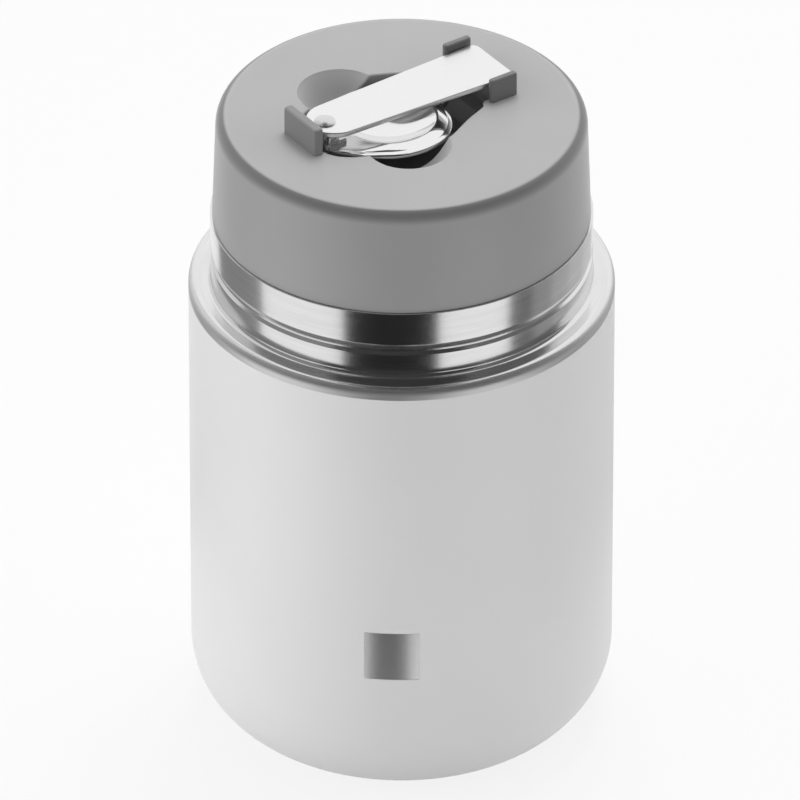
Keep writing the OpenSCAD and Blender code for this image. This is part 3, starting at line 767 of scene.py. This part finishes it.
def spoon_handle():
    """Flat handle with a round near end and rounded far corners, and lightly broken edges."""
    far_r, break_r = 2.0, 0.25
    near_c = HANDLE_NEAR_R - HANDLE_BACK
    arc = [Vector((near_c + HANDLE_NEAR_R * math.cos(a), HANDLE_NEAR_R * math.sin(a)))
           for a in (math.pi / 2 + math.pi * k / 40 for k in range(41))]
    far = fillet([(near_c, -HANDLE_NEAR_R, 0), (HANDLE_LEN, -HANDLE_FAR_HW, far_r),
                  (HANDLE_LEN, HANDLE_FAR_HW, far_r), (near_c, HANDLE_NEAR_R, 0)], steps=10)
    outline = evenly(arc + far[1:-1], 260)
    skin = slab(outline, HANDLE_Z, HANDLE_TOP, break_r, break_r, seat)
    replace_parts(make("spoon_handle_skin", [skin], "handle", HANDLE_STEEL), "spoon_handle")


def spoon_bowl():
    """Pressed bowl: a dish, a flat rim with a fine bead line and a plate around the rivet, all of one sheet,
    with a hem and a tab."""
    count, edge, bend = 260, 0.35, 1.0
    middle = Vector((BOWL_ALONG, 0))
    fine = [middle + twin_exit(0, math.cos(a), math.sin(a)) * Vector((math.cos(a), math.sin(a)))
            for a in (TAU * k / 2000 for k in range(2000))]
    outline = with_normals(evenly(fine, count))
    aims = [(p - middle).normalized() for p, n in outline]
    ball = (BOWL_R ** 2 + BOWL_DEPTH ** 2) / (2 * BOWL_DEPTH)
    centre_z = RIM_Z + ball - BOWL_DEPTH
    low_z = RIM_Z - BOWL_T

    def dish(r, z):
        return [seat(*(middle + aim * r), z) for aim in aims]

    def face(sphere, level):
        """Rings from the bottom of the dish to the flat rim, on one face of the sheet."""
        corner_r = math.sqrt(sphere ** 2 - (centre_z - level) ** 2)
        tilt = math.asin(corner_r / sphere)
        trim = bend * math.tan(tilt / 2)
        last = tilt - trim / sphere
        arc = [last * k / 24 for k in range(1, 25)]
        out = [dish(sphere * math.sin(a), centre_z - sphere * math.cos(a)) for a in arc]
        r0, z0 = sphere * math.sin(last), centre_z - sphere * math.cos(last)
        for k in range(1, 7):
            t = k / 6
            out.append(dish((1 - t) ** 2 * r0 + 2 * t * (1 - t) * corner_r + t * t * (corner_r + trim),
                            (1 - t) ** 2 * z0 + (1 - (1 - t) ** 2) * level))
        return out

    def slope(x, inset):
        """How far the rim falls towards its edge, most at its far end. The rivet's plate stays level."""
        fall = RIM_FALL * smooth_step(x / 6) + FAR_FALL * smooth_step((x - BOWL_ALONG - 4) / 9)
        return fall * (1 - inset / (RIM_R - BOWL_R))

    def rim(inset, z):
        return [seat(*(p - n * inset), z - slope(p.x, inset)) for p, n in outline]

    quarter = [math.pi / 2 * k / 4 for k in range(5)]
    rings = [[seat(*middle, centre_z - ball)]] + face(ball, RIM_Z)
    bead = ((1.5, 0), (1.35, 0.02), (1.2, 0.06), (1.05, 0.02), (0.9, 0))
    rings += [rim(inset, RIM_Z - drop) for inset, drop in bead]
    rings += [rim(edge + 0.04, RIM_Z)]
    rings += [rim(edge * (1 - math.sin(a)), RIM_Z - edge * (1 - math.cos(a))) for a in quarter]
    rings += [rim(edge * (1 - math.cos(a)), low_z + edge * (1 - math.sin(a))) for a in quarter]
    rings += [rim(edge + 0.04, low_z)] + face(ball + BOWL_T, low_z)[::-1]
    rings.append([seat(*middle, centre_z - ball - BOWL_T)])
    hem_along, hem_len, hem_w, hem_h = 0.5, 6, 8.4, 1.2
    tab_along, tab_side, tab_len, tab_t = -0.2, -3.7, 3, 1
    hem = block(hem_along, 0, hem_len, hem_w, RIM_Z - 0.2, RIM_Z + hem_h, 0.6, 0, 0.4)
    tab = block(tab_along, tab_side, tab_len, tab_t, RIM_Z + hem_h / 2, HANDLE_Z - 0.4, 0.45, 0, 0.4)
    piece = make("spoon_bowl_skin", [stack(rings), hem, tab], "bowl", SPOON_STEEL)
    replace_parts(piece, "spoon_bowl")


def on_rivet(part):
    """Moves a turned part from the part's axis to the rivet."""
    at = seat(0, 0)
    return [(p[0] + at.x, p[1] + at.y, p[2]) for p in part[0]], part[1]


def rivet():
    """Rivet with a shank, a flat tail below the bowl's plate and a domed head."""
    shank, head_r, head_h, tail_r, tail_h = 1.8, 2.5, 1.0, 2.6, 0.9
    chamfer, lip, steps = 0.2, 0.25, 10
    tail_z = RIM_Z - BOWL_T - 0.05
    dome = (head_r ** 2 + head_h ** 2) / (2 * head_h)
    start = math.asin(head_r / dome)
    profile = [(0, tail_z - tail_h), (tail_r - chamfer, tail_z - tail_h),
               (tail_r, tail_z - tail_h + chamfer), (tail_r, tail_z), (shank, tail_z), (shank, HANDLE_TOP),
               (head_r - 0.05, HANDLE_TOP), (head_r, HANDLE_TOP + lip / 2)]
    for k in range(steps + 1):
        a = start * (1 - k / steps)
        rise = (math.cos(a) - math.cos(start)) / (1 - math.cos(start))
        profile.append((dome * math.sin(a), HANDLE_TOP + lip + (head_h - lip) * rise))
    skin = on_rivet(lathe(profile, False, 64))
    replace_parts(make("spoon_rivet_skin", [skin], "handle", PIVOT_STEEL), "spoon_rivet")


spoon_handle()
spoon_bowl()
rivet()


# ---------- CAD nodes that stay, with their finishes ----------

CAD_FINISH = {
    "outer_shell": COAT, "inner_vessel": VESSEL_STEEL, "foil_wrap": FOIL, "getter_cap": VESSEL_STEEL,
    "getter": GETTER_METAL, "base_cup": BASE_STEEL, "seal_plug": SEAL_GLASS, "base_cover": BASE_STEEL,
    "lid_liner": LINER_PLASTIC, "lid_insulation": FOAM, "lid_gasket": SILICONE, "pivot_washer": PIVOT_STEEL,
}
for node, finish in CAD_FINISH.items():
    mesh = frame["nodes"][node].data
    mesh.materials.clear()
    mesh.materials.append(finish)


# ---------- stage ----------

# Share of plain white that the floor shows to camera and glossy rays
FLOOR_GLOW = 0.84
# The light that surfaces get from the world: azimuth in degrees and radiance, of which LEVEL is the
# largest that a band can have. Azimuth 0 is the camera's side, and 90 is +X.
LEVEL = 3.0
LOW_BANDS = [(-180, 0.2), (-150, 0.35), (-120, 0.8), (-90, 2.4), (-60, 2.1), (-30, 1.2), (0, 0.62),
             (25, 0.18), (60, 0.7), (90, 1.9), (120, 0.9), (150, 0.4), (180, 0.2)]
HIGH_BANDS = [(-180, 0.6), (-120, 0.7), (-60, 0.15), (60, 0.15), (120, 0.8), (180, 0.6)]
ZENITH = 0.6

# How far the cards on the table reach, and how far away the others stand
TABLE_END = 2600
CARD_AWAY = 2500
# First and last azimuth and shade of the cards on the table at the right
RIGHT_CARDS = [(62, 78, 0.16), (78, 94, 0.3), (94, 110, 0.42), (110, 130, 0.52), (130, 150, 0.62)]


def sees_background(tree):
    """1 for camera, glossy and transmission rays, which see the pale background, and 0 for light."""
    ray = tree.nodes.new("ShaderNodeLightPath")
    return math_node(tree, "MAXIMUM", ray.outputs["Is Camera Ray"], math_node(
        tree, "MAXIMUM", ray.outputs["Is Glossy Ray"], ray.outputs["Is Transmission Ray"]))


def stage_mesh(name, points, faces, mat):
    """A mesh of the studio, in millimetres."""
    mesh = bpy.data.meshes.new(name)
    mesh.from_pydata([tuple(MM * c for c in p) for p in points], [], faces)
    mesh.materials.append(mat)
    obj = bpy.data.objects.new(name, mesh)
    bpy.context.scene.collection.objects.link(obj)
    return obj


def floor():
    """Pale floor, which looks white and keeps the object's shadow."""
    mat, tree, shader = new_material("floor", grey(0.77), 0.0, 1.0, Specular_IOR_Level=0.0)
    glow = tree.nodes.new("ShaderNodeEmission")
    blend = tree.nodes.new("ShaderNodeMixShader")
    tree.links.new(math_node(tree, "MULTIPLY", sees_background(tree), FLOOR_GLOW), blend.inputs[0])
    tree.links.new(shader.outputs[0], blend.inputs[1])
    tree.links.new(glow.outputs[0], blend.inputs[2])
    tree.links.new(blend.outputs[0], tree.nodes["Material Output"].inputs["Surface"])
    half = 6000
    corners = [(-half, -half, 0), (half, -half, 0), (half, half, 0), (-half, half, 0)]
    stage_mesh("floor", corners, [(0, 1, 2, 3)], mat)


def card(name, shade, points, faces):
    """A grey card that only reflections see."""
    mat, tree, shader = new_material(name, grey(0.0), 0.0, 1.0,
                                     Specular_IOR_Level=0.0, Emission_Strength=1.0)
    shader.inputs["Emission Color"].default_value = (*grey(shade), 1)
    obj = stage_mesh(name, points, faces, mat)
    obj.visible_camera = obj.visible_diffuse = obj.visible_shadow = obj.visible_transmission = False


def floor_card(name, shade, first, last, near, far):
    """A card on the table around the jar, between two azimuths and two distances."""
    steps = 24
    points = []
    for k in range(steps + 1):
        a = math.radians(first + (last - first) * k / steps)
        points += [(r * math.sin(a), -r * math.cos(a), 1.0) for r in (near, far)]
    card(name, shade, points, [(2 * k, 2 * k + 1, 2 * k + 3, 2 * k + 2) for k in range(steps)])


def high_card(name, shade, first, last, lowest, highest, distance):
    """A card around the jar, between two azimuths and two elevations."""
    steps, middle_z = 12, 100
    points = []
    for k in range(steps + 1):
        a = math.radians(first + (last - first) * k / steps)
        for j in range(steps + 1):
            e = math.radians(lowest + (highest - lowest) * j / steps)
            points.append((distance * math.sin(a) * math.cos(e), -distance * math.cos(a) * math.cos(e),
                           middle_z + distance * math.sin(e)))
    row = steps + 1
    card(name, shade, points, [(row * k + j, row * k + j + 1, row * (k + 1) + j + 1, row * (k + 1) + j)
                               for k in range(steps) for j in range(steps)])


def softbox(name, azimuth, elevation, distance, width, height, radiance):
    """A soft rectangular lamp aimed at the lid. Azimuth 0 is the camera's side and 90 is +X."""
    lamp = bpy.data.lights.new(name, "AREA")
    lamp.shape = "RECTANGLE"
    lamp.size, lamp.size_y = width, height
    lamp.energy = radiance * math.pi * width * height
    obj = bpy.data.objects.new(name, lamp)
    a, e = math.radians(azimuth), math.radians(elevation)
    aim = Vector((0, 0, 0.14))
    away = Vector((math.sin(a) * math.cos(e), -math.cos(a) * math.cos(e), math.sin(e)))
    obj.location = aim + distance * away
    obj.rotation_euler = (obj.location - aim).to_track_quat("Z", "Y").to_euler()
    obj.visible_camera = obj.visible_glossy = False
    bpy.context.scene.collection.objects.link(obj)


def world():
    """White for camera and reflections. The light comes from the sides, more of it from the left."""
    w = bpy.data.worlds.new("studio")
    bpy.context.scene.world = w
    w.use_nodes = True
    tree = w.node_tree
    background = tree.nodes["Background"]
    coords = tree.nodes.new("ShaderNodeTexCoord")
    split = tree.nodes.new("ShaderNodeSeparateXYZ")
    tree.links.new(coords.outputs["Generated"], split.inputs[0])
    x, y, z = split.outputs
    around = math_node(tree, "ARCTAN2", x, math_node(tree, "MULTIPLY", y, -1))
    share = ramp(tree, around, -math.pi, math.pi, 0, 1)

    def bands(stops):
        node = tree.nodes.new("ShaderNodeValToRGB")
        node.color_ramp.interpolation = "LINEAR"
        elements = node.color_ramp.elements
        for i, (degrees, value) in enumerate(stops):
            at = (degrees + 180) / 360
            stop = elements[i] if i < 2 else elements.new(at)
            stop.position = at
            stop.color = (*grey(value / LEVEL), 1)
        tree.links.new(share, node.inputs[0])
        return node.outputs[0]

    upper = ramp(tree, z, 0.45, 0.75, 0, 1, True)
    top = ramp(tree, z, 0.88, 0.98, 0, 1, True)
    studio = mix(tree, top, mix(tree, upper, bands(LOW_BANDS), bands(HIGH_BANDS)), grey(ZENITH / LEVEL))
    seen = sees_background(tree)
    tree.links.new(mix(tree, seen, studio, grey(1.0)), background.inputs["Color"])
    tree.links.new(ramp(tree, seen, 0, 1, LEVEL, 1), background.inputs["Strength"])


floor()
world()
softbox("behind", 165, 70, 0.75, 0.41, 0.41, 7.5)
floor_card("card_near", 0.16, -14, 3, 85, 150)
floor_card("card_front", 0.02, -32, 20, 150, TABLE_END)
for number, (first, last, shade) in enumerate(RIGHT_CARDS):
    floor_card("card_right_%d" % number, shade, first, last, 110, TABLE_END)
floor_card("card_left", 0.25, -132, -85, 110, TABLE_END)
high_card("card_above", 0.04, -48, 46, -2, 78, CARD_AWAY)
high_card("card_top", 0.06, -180, 180, 74, 90, CARD_AWAY - 100)
high_card("card_above_left", 0.24, -106, -49, 0, 70, CARD_AWAY)
high_card("card_behind_left", 0.75, -145, -107, 0, 60, CARD_AWAY)
high_card("card_above_right", 0.14, 47, 106, 0, 70, CARD_AWAY)


# ---------- camera ----------

def camera():
    elevation, distance, aim_x, aim_z, lens = 33.5, 3.81, -0.38 * MM, 83.9 * MM, 728.0
    data = bpy.data.cameras.new("camera")
    data.lens = lens
    data.sensor_width = 36
    data.sensor_fit = "HORIZONTAL"
    data.clip_end = 100
    obj = bpy.data.objects.new("camera", data)
    e = math.radians(elevation)
    obj.location = Vector((aim_x, -distance * math.cos(e), aim_z + distance * math.sin(e)))
    obj.rotation_euler = (math.pi / 2 - e, 0, 0)
    bpy.context.scene.collection.objects.link(obj)
    bpy.context.scene.camera = obj


camera()
bpy.context.scene.view_settings.view_transform = "Standard"
